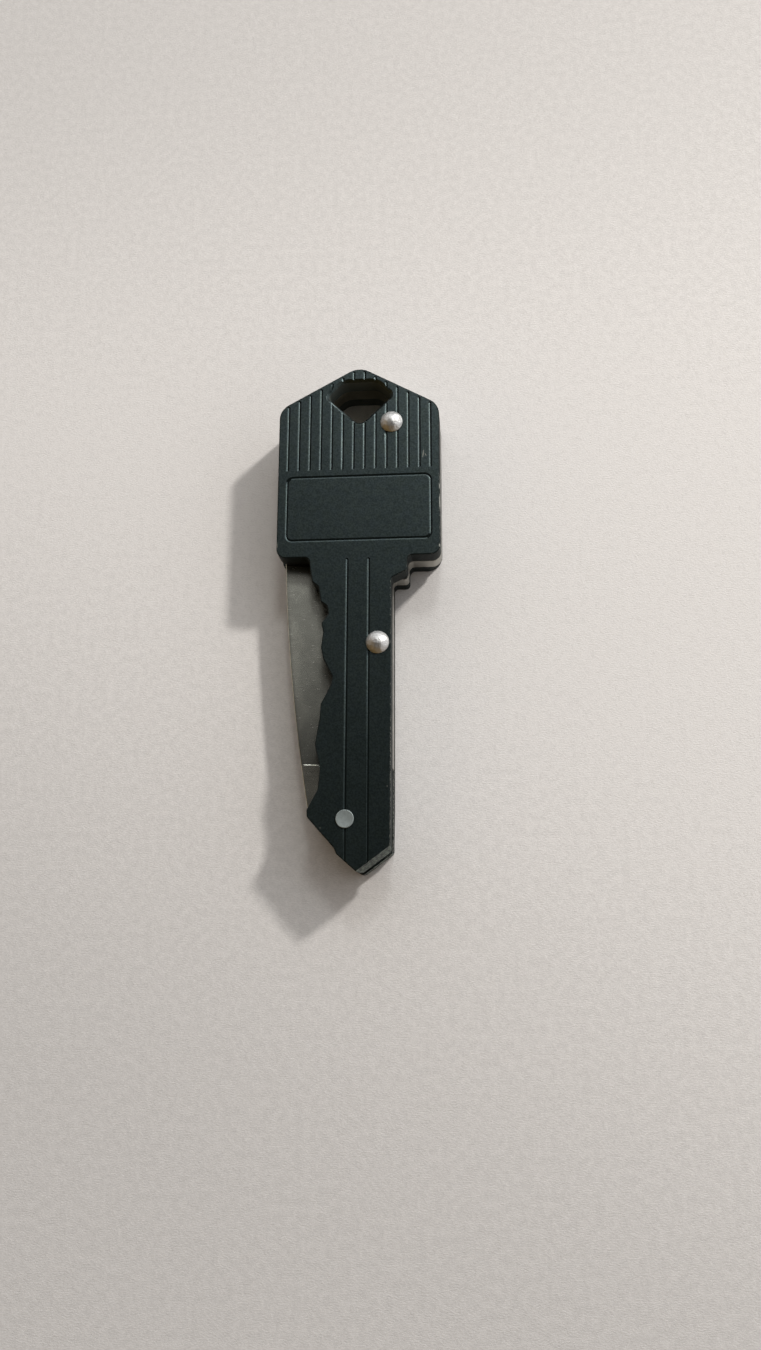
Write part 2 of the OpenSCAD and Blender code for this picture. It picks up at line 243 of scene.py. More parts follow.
def lathe(name, profile, centre, steps):  # turns (radius, height) points about a vertical axis
    bpy.ops.mesh.primitive_plane_add(size=1)
    piece = bpy.context.object
    piece.name = name
    edit(piece, "VERT")
    bpy.ops.mesh.select_all(action="SELECT")
    bpy.ops.mesh.merge(type="CENTER")
    shape = bmesh.from_edit_mesh(piece.data)
    shape.verts.ensure_lookup_table()
    shape.verts[0].co = (profile[0][0], 0, profile[0][1])
    bmesh.update_edit_mesh(piece.data)
    for here, there in zip(profile, profile[1:]):
        move = (there[0] - here[0], 0, there[1] - here[1])
        bpy.ops.mesh.extrude_region_move(TRANSFORM_OT_translate={"value": move})
    bpy.ops.mesh.select_all(action="SELECT")
    bpy.ops.mesh.spin(steps=steps, angle=2 * math.pi, center=(0, 0, 0), axis=(0, 0, 1))
    bpy.ops.mesh.select_all(action="SELECT")
    bpy.ops.mesh.remove_doubles(threshold=0.0005)
    bpy.ops.mesh.normals_make_consistent(inside=False)
    goIdle()
    piece.data.transform(Matrix.Translation((centre[0], centre[1], 0)))
    return piece


# small tools for building materials


def newPaint(name, baseColor, metallic, roughness):
    paint = bpy.data.materials.new(name)
    paint.use_nodes = True
    tree = paint.node_tree
    shader = tree.nodes["Principled BSDF"]
    shader.inputs["Base Color"].default_value = (*baseColor, 1)
    shader.inputs["Metallic"].default_value = metallic
    shader.inputs["Roughness"].default_value = roughness
    return paint, tree, shader


def addNode(tree, kind, **values):
    node = tree.nodes.new(kind)
    for key, value in values.items():
        if hasattr(node, key):
            setattr(node, key, value)
        else:
            node.inputs[key.replace("_", " ")].default_value = value
    return node


def objectPlace(tree, stretch=(1, 1, 1)):
    place = addNode(tree, "ShaderNodeTexCoord")
    mapping = addNode(tree, "ShaderNodeMapping", Scale=stretch)
    tree.links.new(place.outputs["Object"], mapping.inputs["Vector"])
    return mapping.outputs["Vector"]


def noiseAt(tree, place, grainSize, detail=2.0, rough=0.5):  # grain size in millimetres
    noise = addNode(
        tree, "ShaderNodeTexNoise", Scale=1 / (grainSize * mm), Detail=detail, Roughness=rough)
    tree.links.new(place, noise.inputs["Vector"])
    return noise.outputs["Fac"]


def ramp(tree, source, fromLow, fromHigh, toLow=0.0, toHigh=1.0):
    node = addNode(tree, "ShaderNodeMapRange", interpolation_type="SMOOTHSTEP")
    node.inputs["From Min"].default_value = fromLow
    node.inputs["From Max"].default_value = fromHigh
    node.inputs["To Min"].default_value = toLow
    node.inputs["To Max"].default_value = toHigh
    tree.links.new(source, node.inputs["Value"])
    return node.outputs["Result"]


def maths(tree, operation, first, second):
    node = addNode(tree, "ShaderNodeMath", operation=operation)
    for socket, value in zip(node.inputs, (first, second)):
        if isinstance(value, (int, float)):
            socket.default_value = value
        else:
            tree.links.new(value, socket)
    return node.outputs["Value"]


def mixColors(tree, factor, first, second):
    node = addNode(tree, "ShaderNodeMix", data_type="RGBA")
    tree.links.new(factor, node.inputs["Factor"])
    for socket, value in ((node.inputs[6], first), (node.inputs[7], second)):  # colours A and B
        if isinstance(value, tuple):
            socket.default_value = (*value, 1)
        else:
            tree.links.new(value, socket)
    return node.outputs[2]


def along(tree, place, axis):  # one coordinate of a place
    split = addNode(tree, "ShaderNodeSeparateXYZ")
    tree.links.new(place, split.inputs["Vector"])
    return split.outputs[axis]


def bumpFrom(tree, height, depth, normal=None):  # depth in millimetres
    node = addNode(tree, "ShaderNodeBump", Strength=1.0, Distance=depth * mm)
    tree.links.new(height, node.inputs["Height"])
    if normal is not None:
        tree.links.new(normal, node.inputs["Normal"])
    return node.outputs["Normal"]


def roundedNormal(tree, radius):  # softens the shading of sharp edges, radius in millimetres
    node = addNode(tree, "ShaderNodeBevel", samples=6, Radius=radius * mm)
    return node.outputs["Normal"]


def edgeMask(tree, radius):  # 1 on edges, 0 on flat faces
    bevel = addNode(tree, "ShaderNodeBevel", samples=6, Radius=radius * mm)
    geometry = addNode(tree, "ShaderNodeNewGeometry")
    dot = addNode(tree, "ShaderNodeVectorMath", operation="DOT_PRODUCT")
    tree.links.new(bevel.outputs["Normal"], dot.inputs[0])
    tree.links.new(geometry.outputs["True Normal"], dot.inputs[1])
    return ramp(tree, dot.outputs["Value"], 0.985, 0.88)


coat = {
    "color": (0.0010, 0.0022, 0.0018), "dullAndPaintedShade": (0.0022, 0.0036, 0.0032), "patch": 5.0,
    "blueTint": (0.74, 0.96, 1.0), "greenTint": (0.78, 1.0, 0.96), "tintPatch": 1.3,
    "shine": 0.26, "grain": 0.22, "grainDepth": 0.011, "softEdge": 0.07,
    "bare": (0.52, 0.50, 0.44), "chip": 0.4, "chipLevel": 0.66, "chipRim": 0.2,
    "wornSide": 4.0, "wornSideFade": 0.6, "wornBelow": -17.0, "wornBelowFade": 5.0,
    "rubbed": 0.12, "sideRubbed": 0.08,
}
marks = {
    "color": (0.20, 0.20, 0.18),
    "spots": (  # x, y, half width, half length, turn
        (9.5, 23.15, 0.09, 0.75, -7), (9.85, 23.0, 0.07, 0.3, 25), (-4.85, -31.3, 0.11, 0.11, 0),
        (4.3, -25.67, 0.09, 0.09, 0), (11.84, 15.6, 0.07, 1.3, 0), (11.83, 18.0, 0.06, 0.5, 0),
        (11.78, 8.9, 0.14, 0.25, 0), (-11.8, 9.6, 0.09, 0.6, 6),
    ),
}


def markMask(tree, grain):  # 1 on the small bare spots, with grainy rims
    mask = None
    for x, y, wide, long, turn in marks["spots"]:
        place = addNode(
            tree, "ShaderNodeMapping", vector_type="TEXTURE", Location=(x * mm, y * mm, 0),
            Rotation=(0, 0, math.radians(turn)), Scale=(wide * mm, long * mm, 1))
        whole = addNode(tree, "ShaderNodeTexCoord").outputs["Object"]
        tree.links.new(whole, place.inputs["Vector"])
        away = addNode(tree, "ShaderNodeVectorMath", operation="LENGTH")
        tree.links.new(place.outputs["Vector"], away.inputs[0])
        spot = ramp(tree, maths(tree, "ADD", away.outputs["Value"], grain), 1.6, 1.1)
        mask = spot if mask is None else maths(tree, "MAXIMUM", mask, spot)
    return mask


# the black coat: chipped where a chip level is given, on its edges or all over,
# and less shiny towards the tip where a fade is given, a painted highlight dimming along Y: from
# and to along Y, and what is left
def coatPaint(name, roughness=0.37, specular=0.54, chipLevel=None, edgesOnly=True,
              bareColor=coat["bare"], paintedHighlightFade=None):
    paint, tree, shader = newPaint(name, coat["color"], 0.0, roughness)
    place = objectPlace(tree)
    hue = ramp(tree, noiseAt(tree, place, coat["tintPatch"], 3, 0.7), 0.35, 0.65)
    tint = mixColors(tree, hue, coat["blueTint"], coat["greenTint"])
    tree.links.new(tint, shader.inputs["Specular Tint"])
    grain = noiseAt(tree, place, coat["grain"], 2)
    dim, bright = specular * (1 - coat["shine"]), specular * (1 + coat["shine"])
    shine = ramp(tree, grain, 0.3, 0.7, dim, bright)
    if paintedHighlightFade is not None:
        start, end, left = paintedHighlightFade
        faded = ramp(tree, along(tree, place, "Y"), start * mm, end * mm, 1.0, left)
        shine = maths(tree, "MULTIPLY", shine, faded)
    tree.links.new(shine, shader.inputs["Specular IOR Level"])
    patches = noiseAt(tree, place, coat["patch"], 3)
    color = mixColors(tree, ramp(tree, patches, 0.35, 0.7), coat["color"], coat["dullAndPaintedShade"])
    bare = addNode(tree, "ShaderNodeValue").outputs[0]
    bare.default_value = 0
    if chipLevel is not None:
        level = noiseAt(tree, place, coat["chip"], 3, 0.6)
        if edgesOnly:  # more chips on the right-hand side, and most near the tip
            side, sideFade = coat["wornSide"], coat["wornSideFade"]
            below, belowFade = coat["wornBelow"], coat["wornBelowFade"]
            sideways = ramp(
                tree, along(tree, place, "X"), (side - sideFade) * mm, (side + sideFade) * mm)
            low = ramp(
                tree, along(tree, place, "Y"), (below + belowFade) * mm, (below - belowFade) * mm)
            rubbed = maths(tree, "MULTIPLY", low, coat["rubbed"])
            rubbed = maths(tree, "ADD", rubbed, coat["sideRubbed"])
            level = maths(tree, "ADD", level, maths(tree, "MULTIPLY", sideways, rubbed))
            bare = ramp(tree, level, chipLevel, chipLevel + 0.03)
            bare = maths(tree, "MULTIPLY", bare, edgeMask(tree, coat["chipRim"]))
        else:
            bare = ramp(tree, level, chipLevel, chipLevel + 0.12)
    color = mixColors(tree, bare, color, bareColor)
    spots = markMask(tree, grain)
    tree.links.new(mixColors(tree, spots, color, marks["color"]), shader.inputs["Base Color"])
    tree.links.new(maths(tree, "MAXIMUM", bare, spots), shader.inputs["Metallic"])
    normal = bumpFrom(tree, grain, coat["grainDepth"], roundedNormal(tree, coat["softEdge"]))
    tree.links.new(normal, shader.inputs["Normal"])
    return paint


steel = {"line": 0.12, "patch": 3.0, "dent": 0.55, "softEdge": 0.05, "swing": 0.2}


# bare metal with fine lines, longest along the axis with the smallest stretch, and soft patches;
# the last argument paints shade on the ground blade, darkening its colour along Y for its darker
# reflection towards the point: from and to along Y, what is left, and where the flat starts
def steelPaint(name, color, roughness, stretch=(1, 1, 1), lineDepth=0.0015, streak=0.35,
               patchShade=0.72, dentDepth=0.0, dullAndPaintedShade=None):
    paint, tree, shader = newPaint(name, color, 1.0, roughness)
    place = objectPlace(tree)
    fineLines = noiseAt(tree, objectPlace(tree, stretch), steel["line"], 4, 0.7)
    patches = noiseAt(tree, place, steel["patch"], 3)
    shade = maths(
        tree, "ADD", maths(tree, "MULTIPLY", fineLines, streak),
        maths(tree, "MULTIPLY", patches, 1 - streak))
    dark = tuple(c * patchShade for c in color)
    tone = mixColors(tree, ramp(tree, shade, 0.35, 0.65), dark, color)
    if dullAndPaintedShade is not None:
        start, end, left, flat = dullAndPaintedShade
        kept = ramp(tree, along(tree, place, "Y"), start * mm, end * mm, 1.0, left)
        unground = ramp(tree, along(tree, place, "Y"), (flat + 0.1) * mm, (flat - 0.1) * mm)
        kept = maths(tree, "MAXIMUM", kept, unground)
        tone = mixColors(tree, kept, (0.0, 0.0, 0.0), tone)
    tree.links.new(tone, shader.inputs["Base Color"])
    swing = streak * steel["swing"]
    sheen = ramp(tree, fineLines, 0.3, 0.7, roughness - swing, roughness + swing)
    tree.links.new(sheen, shader.inputs["Roughness"])
    normal = bumpFrom(tree, fineLines, lineDepth, roundedNormal(tree, steel["softEdge"]))
    if dentDepth:
        normal = bumpFrom(tree, noiseAt(tree, place, steel["dent"], 1), dentDepth, normal)
    tree.links.new(normal, shader.inputs["Normal"])
    return paint


print("building materials")
blackCoat = coatPaint("blackCoat")
# the walls' coat: chips of real wear on the edges, and a dull finish that paints shade onto the
# walls
wornAndShadedCoat = coatPaint("wornAndShadedCoat", 0.6, 0.2, coat["chipLevel"])
rubbedCoat = coatPaint("rubbedCoat", 0.5, 0.4, 0.47, edgesOnly=False, bareColor=(0.18, 0.18, 0.155))
# a lighter, matte copy of the black coat for the hole's walls: painted light lifting them in the
# hole's shade
holeCoatPaintedLight = newPaint("holeCoatPaintedLight", (0.06, 0.07, 0.062), 0.0, 0.7)[0]
# the cut lines' walls facing the lamps take a shinier copy of the coat, a painted highlight, and
# those facing away a dull copy, painted shade
grooveLight = coatPaint("grooveLight", 0.42, 0.66, paintedHighlightFade=(-6, -26, 0.4))
grooveShade = coatPaint("grooveShade", 0.8, 0.1)
springSteel = steelPaint("springSteel", (0.40, 0.39, 0.355), 0.42, (1, 1, 0.05))
# a darker, browner, rougher copy of the spring steel for the hole's wall: painted shade
holeSteelPaintedShade = steelPaint("holeSteelPaintedShade", (0.30, 0.28, 0.22), 0.6, (1, 1, 0.05))
# its colour darkens towards the point: painted shade for the blade's darker reflection there, with
# the flat below the plunge left at full tone
bladeSteel = steelPaint(
    "bladeSteel", (0.66, 0.65, 0.56), 0.25, (0.03, 1, 1), lineDepth=0.00012, streak=0.12,
    patchShade=0.86, dullAndPaintedShade=(-8, -24, 0.58, -22.15))
domeSteel = steelPaint("domeSteel", (0.52, 0.515, 0.50), 0.5, lineDepth=0.004, dentDepth=0.1)
pinSteel = steelPaint("pinSteel", (0.45, 0.50, 0.49), 0.5, lineDepth=0.003)
brass = steelPaint("washerBrass", (0.60, 0.44, 0.18), 0.35)

# places of the CAD pieces, in millimetres
frontLow, frontHigh = nodeBox("front_plate")
backLow, backHigh = nodeBox("back_plate")
springLow, springHigh = nodeBox("back_spring")
pivotAt = nodeMiddle("pivot_pin")
bowRivetAt = nodeMiddle("bow_rivet")
shankRivetAt = nodeMiddle("shank_rivet")

bore = {"rivet": 1.02, "pivot": 1.12, "sink": 0.46, "past": 1.0, "steps": 32}


def boreCutters(low, high, sunk=False, pivotToo=True):  # sunk bores widen towards the bottom
    cutters, wide = [], (bore["sink"] + bore["past"]) * sunk
    start, end = low - bore["past"], high + bore["past"]
    places = [(bowRivetAt, bore["rivet"]), (shankRivetAt, bore["rivet"]), (pivotAt, bore["pivot"])]
    for at, radius in places if pivotToo else places[:2]:
        profile = [(0, start), (radius + wide, start), (radius, low + bore["sink"]),
                   (radius, end), (0, end)]
        cutters.append(lathe("bore", profile, at, bore["steps"]))
    return joinAll(cutters, "bores")


keyHole = {"near": (0.1, 31.9), "bevel": 0.4, "flare": 0.9, "past": 1.0}


def flareRim(cutter):  # spreads the chosen loop evenly outwards
    middle = Vector((*keyHole["near"], 0))
    shape = bmesh.from_edit_mesh(cutter.data)
    moves = {}
    for vert in [v for v in shape.verts if v.select]:
        rim = [e for e in vert.link_edges if e.other_vert(vert).select]
        sides = [(e.other_vert(vert).co - vert.co).normalized() for e in rim]
        outs = [Vector((s.y, -s.x, 0)) for s in sides]
        outs = [o if o.dot(vert.co - middle) > 0 else -o for o in outs]
        out = (outs[0] + outs[1]).normalized()
        moves[vert] = out * keyHole["flare"] / max(0.5, out.dot(outs[0]))
    for vert, move in moves.items():
        vert.co += move
    bmesh.update_edit_mesh(cutter.data)


def holeCutter(nodeName, level, low, high, bevelled=False):  # from the hole's loop at that level
    cutter = loopOf(nodeName, level, "holeCutter", keyHole["near"])
    edit(cutter, "EDGE")
    bpy.ops.mesh.select_all(action="SELECT")
    start = low - keyHole["past"]
    bpy.ops.transform.translate(value=(0, 0, start - level))
    end = high - keyHole["bevel"] if bevelled else high + keyHole["past"]
    bpy.ops.mesh.extrude_region_move(TRANSFORM_OT_translate={"value": (0, 0, end - start)})
    if bevelled:
        flare = keyHole["flare"]
        bpy.ops.mesh.extrude_region_move(TRANSFORM_OT_translate={"value": (0, 0, flare)})
        flareRim(cutter)
        end += flare
    for height in (start, end):
        choose(cutter, "EDGE", lambda e: all(abs(v.co.z - height) < 0.001 for v in e.verts))
        bpy.ops.mesh.edge_face_add()
    pointOutwards(cutter)
    return cutter


lines = {
    "width": 0.5, "slope": 30, "lift": 0.1, "point": 0.25,
    "stripeCount": 14, "stripePitch": 1.62, "stripeLow": 21.15, "margin": 0.5,
    "roofPitch": 29, "roofPoint": 37.63,
    "panelWide": 21.06, "panelLow": 10.15, "panelHigh": 19.95, "panelCorner": 0.9,
    "shankApart": 3.1, "shankTop": 7.2,
}


def barCutter(x, low, high, level):  # a V-shaped cut with pointed ends along Y
    flat = math.tan(math.radians(lines["slope"]))
    bpy.ops.mesh.primitive_cylinder_add(
        vertices=4, radius=lines["width"] / 2 + lines["lift"] / flat, depth=high - low,
        end_fill_type="NGON", location=(x, (low + high) / 2, level + lines["lift"]),
        rotation=(math.pi / 2, 0, 0))
    bar = bpy.context.object
    bar.scale = (1, flat, 1)
    bpy.ops.object.transform_apply(location=True, rotation=True, scale=True)
    edit(bar)
    choose(bar, "FACE", lambda f: abs(f.normal.y) > 0.9)
    bpy.ops.mesh.poke(offset=lines["point"])
    goIdle()
    return bar


def panelCutter(level):  # a V-shaped ring along the panel's rounded frame
    bpy.ops.mesh.primitive_plane_add(size=1, location=(0, 0, 0))
    ring = bpy.context.object
    ring.scale = (lines["panelWide"], lines["panelHigh"] - lines["panelLow"], 1)
    ring.location = (0, (lines["panelHigh"] + lines["panelLow"]) / 2, level + lines["lift"])
    bpy.ops.object.transform_apply(location=True, rotation=True, scale=True)
    edit(ring, "VERT")
    bpy.ops.mesh.select_all(action="SELECT")
    bpy.ops.mesh.bevel(offset=lines["panelCorner"], segments=8, affect="VERTICES")
    bpy.ops.mesh.select_all(action="SELECT")
    bpy.ops.mesh.delete(type="ONLY_FACE")
    pick(ring)
    bpy.ops.object.convert(target="CURVE")
    ring = bpy.context.object
    ring.data.dimensions = "3D"
    flat = math.tan(math.radians(lines["slope"]))
    ring.data.bevel_depth = lines["width"] / 2 + lines["lift"] / flat
    ring.data.bevel_resolution = 0
    bpy.ops.object.convert(target="MESH")
    ring = bpy.context.object
    for vert in ring.data.vertices:
        vert.co.z = level + lines["lift"] + (vert.co.z - level - lines["lift"]) * flat
    pointOutwards(ring)
    return ring


def lineCutters(level):  # the panel's frame, the stripes under the roof and the shank's two lines
    cutters = [panelCutter(level)]
    roof = math.tan(math.radians(lines["roofPitch"]))
    for i in range(lines["stripeCount"]):
        x = (i - (lines["stripeCount"] - 1) / 2) * lines["stripePitch"]
        high = lines["roofPoint"] - abs(x) * roof - lines["margin"]
        high = min(high, frontHigh.y - lines["margin"] / 2)
        cutters.append(barCutter(x, lines["stripeLow"], high, level))
    for side in (-1, 1):
        x = side * lines["shankApart"] / 2
        cutters.append(barCutter(x, frontLow.y - 1, lines["shankTop"], level))
    return joinAll(cutters, "lineCutters")


plate = {
    "rim": 0.16, "rimSteps": 4, "innerRim": 0.14, "innerSteps": 2,
    "neckFrom": (6.5, 6.0), "neckReach": 0.5, "neckDown": 0.6, "rubbedBelow": -33.5,
}
tipSlope = {"low": (0.4, -37.47), "high": (4.7, -34.3), "lean": 9, "deep": 2.9}


def tipCutter():  # leans the tip's lower right wall back
    start = Vector(tipSlope["low"])
    run = Vector(tipSlope["high"]) - start
    deep, tall = tipSlope["deep"], frontHigh.z - frontLow.z + 2
    bpy.ops.mesh.primitive_cube_add(size=1)
    block = bpy.context.object
    size = Matrix.Diagonal((run.length + 2 * deep, deep, tall, 1))
    lean = Matrix.Rotation(math.radians(-tipSlope["lean"]), 4, "X")
    turn = Matrix.Rotation(math.atan2(run.y, run.x), 4, "Z")
    block.data.transform(
        Matrix.Translation((start.x, start.y, frontLow.z)) @ turn @ lean
        @ Matrix.Translation((run.length / 2, -deep / 2, tall / 2)) @ size)
    return block


def makeFrontPlate():
    piece = loopOf("front_plate", frontLow.z, "frontPlate")
    neckX, neckY = plate["neckFrom"]
    for vert in piece.data.vertices:  # the high end of the ramp from the bow to the shank
        if vert.co.x > neckX and abs(vert.co.y - neckY) < plate["neckReach"]:
            vert.co.y -= plate["neckDown"]
    slabOf(piece, frontLow.z, frontHigh.z)
    roundRim(piece, frontHigh.z, plate["rim"], plate["rimSteps"])
    roundRim(piece, frontLow.z, plate["innerRim"], plate["innerSteps"])
    paintRim(piece)
    cutWith(piece, tipCutter())
    cutWith(piece, lineCutters(frontHigh.z))
    paintCuts(piece)
    hole = holeCutter("front_plate", frontLow.z, frontLow.z, frontHigh.z, bevelled=True)
    cutWith(piece, hole, holeCoatPaintedLight)
    paintHole(piece, holeCoatPaintedLight)
    cutWith(piece, boreCutters(frontLow.z, frontHigh.z))
    finishPiece(piece, "handle", "black_plate", None, "front_plate")


def makeBackPlate():
    piece = loopOf("back_plate", backLow.z, "backPlate")
    slabOf(piece, backLow.z, backHigh.z)
    roundRim(piece, backLow.z, plate["rim"], plate["rimSteps"])
    roundRim(piece, backHigh.z, plate["innerRim"], plate["innerSteps"])
    paintRim(piece)
    paintSlope(piece)
    hole = holeCutter("back_plate", backHigh.z, backLow.z, backHigh.z)
    cutWith(piece, hole, holeCoatPaintedLight)
    cutWith(piece, boreCutters(backLow.z, backHigh.z, sunk=True))
    finishPiece(piece, "handle", "black_plate", None, "back_plate")


print("modelling the plates")
makeFrontPlate()
makeBackPlate()

backSpring = {"rim": 0.1, "rimSteps": 2}


def makeBackSpring():
    piece = loopOf("back_spring", springLow.z, "backSpring")
    slabOf(piece, springLow.z, springHigh.z)
    for level in (springHigh.z, springLow.z):
        roundRim(piece, level, backSpring["rim"], backSpring["rimSteps"])
    piece.data.materials.append(springSteel)
    hole = holeCutter("back_spring", springLow.z, springLow.z, springHigh.z)
    cutWith(piece, hole, holeSteelPaintedShade)
    cutWith(piece, boreCutters(springLow.z, springHigh.z, pivotToo=False))
    finishPiece(piece, "handle", "spring_steel", None, "back_spring")


print("modelling the back spring")
makeBackSpring()

bladeLow, bladeHigh = nodeBox("blade")
blade = {
    "tangRadius": 3.4, "stepUp": 1.55, "kickRadius": 0.5, "ricassoIn": 2.8,
    "plungeUp": 7.9, "plungeRun": 0.16, "plungeLead": 0.1,
    "spineOut": 5.6, "spineCover": 0.7, "spineBulge": 1.1, "spineFlat": 0.45, "spineRound": 0.09,
    "heelIn": 2.0, "width": 8.8, "bellyDown": 17.1, "dropDown": 8.6,
    "pointOut": 6.0, "pointUp": 0.3,
    "edgeHalf": 0.13, "edgeWide": 0.5, "tipHalf": 0.015, "thinBelow": 5.0, "hollow": 0.94,
    "bore": 1.15, "boreSteps": 40, "rows": 60,
}
bladePivot = Vector((pivotAt.x, pivotAt.y))
bladePointX = bladePivot.x - blade["pointOut"]
bladePointY = bladeHigh.y + blade["pointUp"]
bladeBellyY = bladePointY - blade["bellyDown"]
bladeDropY = bladePointY - blade["dropDown"]
bladePlungeY = bladePivot.y + blade["plungeUp"]


def easeIn(y, start):  # 0 at the start, and 1 at the point
    return (max(0.0, y - start) / (bladePointY - start)) ** 2


def spineRun(y):
    low = (bladePivot.x - blade["spineOut"], bladePivot.y + blade["stepUp"])
    high = (frontLow.x + blade["spineCover"], bladePointY)
    s = (y - low[1]) / (high[1] - low[1])
    return low[0] + (high[0] - low[0]) * s - 4 * blade["spineBulge"] * s * (1 - s)


def spineX(y):
    return spineRun(y) + (bladePointX - spineRun(bladePointY)) * easeIn(y, bladeDropY)


def edgeRun(y):
    heel = (bladePivot.x + blade["heelIn"], bladePlungeY)
    belly = (spineRun(bladeBellyY) + blade["width"], bladeBellyY)
    return heel[0] + (belly[0] - heel[0]) * (y - heel[1]) / (belly[1] - heel[1])


def edgeX(y):
    return edgeRun(y) + (bladePointX - edgeRun(bladePointY)) * easeIn(y, bladeBellyY)


def tangRight(y):
    up = y - bladePivot.y
    arc = math.sqrt(max(0.0, blade["tangRadius"] ** 2 - up ** 2))
    return bladePivot.x + max(blade["ricassoIn"], arc)


def smoothStep(value, low, high):
    t = min(1.0, max(0.0, (value - low) / (high - low)))
    return t * t * (3 - 2 * t)


# rows of (y, left edge, right edge, how much is ground away) from the tang's end to the point
def bladeRows():
    rows, r, step, kick = [], blade["tangRadius"], blade["stepUp"], blade["kickRadius"]
    turn = math.asin(step / r)
    for i in range(17):  # the tang's round end
        a = -math.pi / 2 + (turn + math.pi / 2) * i / 16
        reach = r * math.cos(a)
        rows.append((bladePivot.y + r * math.sin(a), bladePivot.x - reach, bladePivot.x + reach, 0))
    for i in range(6):  # the rounded step up to the spine
        a = math.pi / 2 * i / 5
        y = bladePivot.y + step + 0.02 + kick * (1 - math.cos(a))
        left = spineX(y) + kick * (1 - math.sin(a))
        rows.append((y, left, tangRight(y), 0))
    groundFrom = bladePlungeY + blade["plungeRun"]
    heights = [bladePivot.y + step + kick + 0.3 * i for i in range(1, 19)]
    heights = [y for y in heights if y < bladePlungeY - blade["plungeLead"]]
    heights += [bladePlungeY + blade["plungeRun"] * (i / 8) for i in range(9)]
    for i in range(1, blade["rows"] + 1):  # closer together towards the point
        done = 1 - (1 - i / blade["rows"]) ** 1.35
        heights.append(groundFrom + (bladePointY - groundFrom) * done)
    for y in heights:
        grind = smoothStep(y, bladePlungeY, groundFrom)
        drop = smoothStep(y, bladePlungeY - blade["plungeLead"], groundFrom)
        right = tangRight(y) * (1 - drop) + edgeX(y) * drop
        rows.append((y, spineX(y), right, grind))
    rows[-1] = (bladePointY, bladePointX, bladePointX, 1)
    return rows


# half a cross section, from the spine's middle over the side to the edge, as (x, z) points
def bladeSection(left, right, grind):
    thin = min(1, (right - left) / blade["thinBelow"])
    half = (bladeHigh.z - bladeLow.z) / 2 * (1 - grind * (1 - thin))
    room = (right - left) / 2
    r = min(blade["spineRound"], room * 0.4)
    flat = min(blade["spineFlat"], room * 0.8)
    wide = min(blade["edgeWide"], room * 0.6)
    edgeHalf, tipHalf = blade["edgeHalf"], blade["tipHalf"]
    points = [(left, 0), (left, half - r)]
    for a in (0.4, 0.8, 1.2, math.pi / 2):
        points.append((left + r * (1 - math.cos(a)), half - r + r * math.sin(a)))
    points.append((left + flat, half))
    ground, whole = [], []
    start, end = left + flat, right - wide
    for i in range(1, 9):
        s = i / 8
        fall = (min(half, edgeHalf) - half) * s ** blade["hollow"]
        ground.append((start + (end - start) * s, half + fall))
        whole.append((start + (right - r - start) * s, half))
    for a in (0.5, 1.0):
        whole.append((right - r + r * math.sin(a), half - r + r * math.cos(a)))
        ground.append((end + wide * a * 0.5, min(half, edgeHalf + (tipHalf - edgeHalf) * a * 0.5)))
    whole += [(right, half - r), (right, 0)]
    ground += [(right, min(half, tipHalf)), (right, 0)]
    for g, w in zip(ground, whole):
        points.append((g[0] * grind + w[0] * (1 - grind), g[1] * grind + w[1] * (1 - grind)))
    return points


def makeBlade():
    rows = bladeRows()
    columns = len(bladeSection(0, 5, 0))
    bpy.ops.mesh.primitive_grid_add(
        x_subdivisions=columns - 1, y_subdivisions=len(rows) - 1, size=10)
    piece = bpy.context.object
    piece.name = "bladeBody"
    for i, (y, left, right, grind) in enumerate(rows):
        for j, (x, z) in enumerate(bladeSection(left, right, grind)):
            piece.data.vertices[i * columns + j].co = (x, y, z)
    applyModifier(
        piece, "MIRROR", use_axis=(False, False, True), use_mirror_merge=True,
        merge_threshold=0.001)
    piece.data.transform(Matrix.Translation((0, 0, (bladeHigh.z + bladeLow.z) / 2)))
    edit(piece)
    bpy.ops.mesh.select_all(action="SELECT")
    bpy.ops.mesh.remove_doubles(threshold=0.001)
    bpy.ops.mesh.normals_make_consistent(inside=False)
    goIdle()
    low, high = bladeLow.z - 1, bladeHigh.z + 1
    profile = [(0, low), (blade["bore"], low), (blade["bore"], high), (0, high)]
    cutWith(piece, lathe("bladeBore", profile, pivotAt, blade["boreSteps"]))
    finishPiece(piece, "blade", "blade_steel", bladeSteel, "blade", smooth=20)


print("modelling the blade")
makeBlade()

rivet = {
    "shank": 1.0, "flare": 0.4, "head": 1.65, "chamfer": 0.06, "brim": 0.05, "swell": 0.85,
    "rings": 12, "steps": 64,
}


def domeProfile(low, high):  # a flared foot, a straight shank and a domed head
    shank, flare, head, rings = rivet["shank"], rivet["flare"], rivet["head"], rivet["rings"]
    base, brim = frontHigh.z, frontHigh.z + rivet["brim"]
    profile = [(0, low), (shank + flare, low), (shank, low + flare),
               (shank, base), (head - rivet["chamfer"], base), (head, brim)]
    for i in range(1, rings + 1):
        r = head * math.cos(math.pi / 2 * i / rings)
        rise = (1 - (r / head) ** 2) ** rivet["swell"]
        profile.append((r if i < rings else 0, brim + (high - brim) * rise))
    return profile


def makeRivet(nodeName, name):
    low, high = nodeBox(nodeName)
    piece = lathe(name, domeProfile(low.z, high.z), nodeMiddle(nodeName), rivet["steps"])
    finishPiece(piece, "handle", "rivet_steel", domeSteel, nodeName, smooth=40)


print("modelling the rivets and the pin")
makeRivet("bow_rivet", "bowRivet")
makeRivet("shank_rivet", "shankRivet")

pin = {"shank": 1.1, "flare": 0.4, "head": 1.25, "round": 0.07, "dish": 0.03, "steps": 64}


